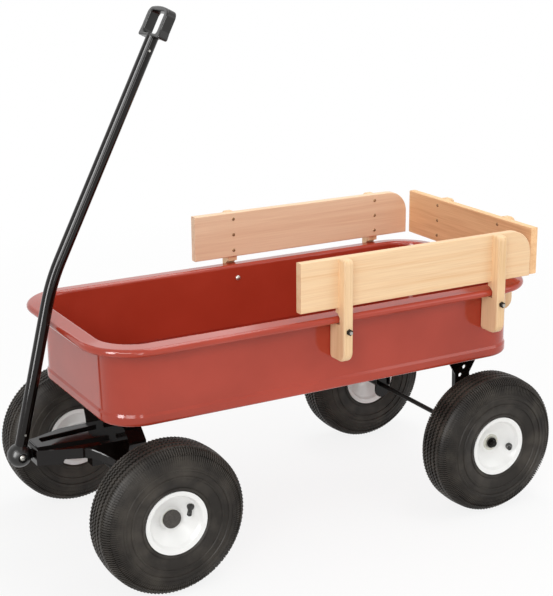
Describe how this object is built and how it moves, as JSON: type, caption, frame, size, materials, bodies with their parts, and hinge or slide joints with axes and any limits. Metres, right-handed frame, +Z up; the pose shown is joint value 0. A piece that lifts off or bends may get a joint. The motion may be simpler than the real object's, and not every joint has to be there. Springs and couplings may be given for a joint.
{
  "type": "pull wagon",
  "caption": "Red steel-tray kids pull wagon with wooden stake sides, pneumatic tyres, steering front axle and a bent black handle with loop grip",
  "frame": {"origin": "on the ground, under the middle of the whole wagon's bounding box", "axes": "+Z up, the front and the handle towards -X, the left side towards -Y"},
  "size_m": [1.0294, 0.538, 0.9667],
  "materials": {
    "red_enamel": "gloss",
    "maple": "satin",
    "tail_wood": "satin",
    "zinc_steel": "satin",
    "black_oxide_steel": "satin",
    "black_enamel": "gloss",
    "black_plastic": "matte",
    "white_plastic": "gloss",
    "nylon": "matte",
    "tyre_rubber": "matte"
  },
  "bodies": {
    "wagon": {"bed_tray": "red_enamel", "side_board_left": "maple", "side_board_right": "maple", "tail_board": "tail_wood", "stake_left_front": "maple", "stake_left_rear": "maple", "stake_right_front": "maple", "stake_right_rear": "maple", "stake_tail_left": "tail_wood", "stake_tail_right": "tail_wood", "stake_bolts": "zinc_steel", "stake_nuts": "black_oxide_steel", "board_screws": "zinc_steel", "front_bolster": "black_enamel", "bolster_bolts": "zinc_steel", "bolster_nuts": "zinc_steel", "rear_bracket_left": "black_enamel", "rear_bracket_right": "black_enamel", "bracket_bolts": "zinc_steel", "bracket_nuts": "zinc_steel", "rear_axle": "zinc_steel", "rear_spacers": "black_enamel", "rear_washers": "zinc_steel", "rear_push_nuts": "zinc_steel", "king_pin_bolt": "zinc_steel", "king_pin_nut": "zinc_steel", "rub_washer": "zinc_steel"},
    "steering": {"axle_beam": "black_enamel", "yoke": "black_enamel", "ball_tongue": "black_enamel", "front_axle": "zinc_steel", "front_spacers": "black_enamel", "front_washers": "zinc_steel", "front_push_nuts": "zinc_steel", "front_caps": "black_plastic"},
    "handle": {"handle_tube": "black_enamel", "handle_clevis": "zinc_steel", "clevis_pin": "zinc_steel", "ball_half_left": "black_plastic", "ball_half_right": "black_plastic", "pivot_bolt": "zinc_steel", "pivot_nut": "zinc_steel", "loop_grip": "black_plastic", "grip_pin": "zinc_steel"},
    "wheel_front_left": {"tyre_front_left": "tyre_rubber", "rim_front_left": "white_plastic", "hub_bushes_front_left": "nylon", "valve_front_left": "black_plastic"},
    "wheel_front_right": {"tyre_front_right": "tyre_rubber", "rim_front_right": "white_plastic", "hub_bushes_front_right": "nylon", "valve_front_right": "black_plastic"},
    "wheel_rear_left": {"tyre_rear_left": "tyre_rubber", "rim_rear_left": "white_plastic", "hub_bushes_rear_left": "nylon", "valve_rear_left": "black_plastic"},
    "wheel_rear_right": {"tyre_rear_right": "tyre_rubber", "rim_rear_right": "white_plastic", "hub_bushes_rear_right": "nylon", "valve_rear_right": "black_plastic"}
  },
  "joints": [
    {"name": "steer", "type": "hinge", "parent": "wagon", "child": "steering", "pos_m": [-0.3126, 0, 0.249], "axis": [0, 0, 1], "range_deg": [-18, 18]},
    {"name": "handle_drop", "type": "hinge", "parent": "steering", "child": "handle", "pos_m": [-0.4932, 0, 0.2026], "axis": [0, -1, 0], "range_deg": [0, 125]},
    {"name": "spin_front_left", "type": "hinge", "parent": "steering", "child": "wheel_front_left", "pos_m": [-0.3126, -0.225, 0.135], "axis": [0, 1, 0], "continuous": true},
    {"name": "spin_front_right", "type": "hinge", "parent": "steering", "child": "wheel_front_right", "pos_m": [-0.3126, 0.225, 0.135], "axis": [0, 1, 0], "continuous": true},
    {"name": "spin_rear_left", "type": "hinge", "parent": "wagon", "child": "wheel_rear_left", "pos_m": [0.3634, -0.225, 0.135], "axis": [0, 1, 0], "continuous": true},
    {"name": "spin_rear_right", "type": "hinge", "parent": "wagon", "child": "wheel_rear_right", "pos_m": [0.3634, 0.225, 0.135], "axis": [0, 1, 0], "continuous": true}
  ]
}
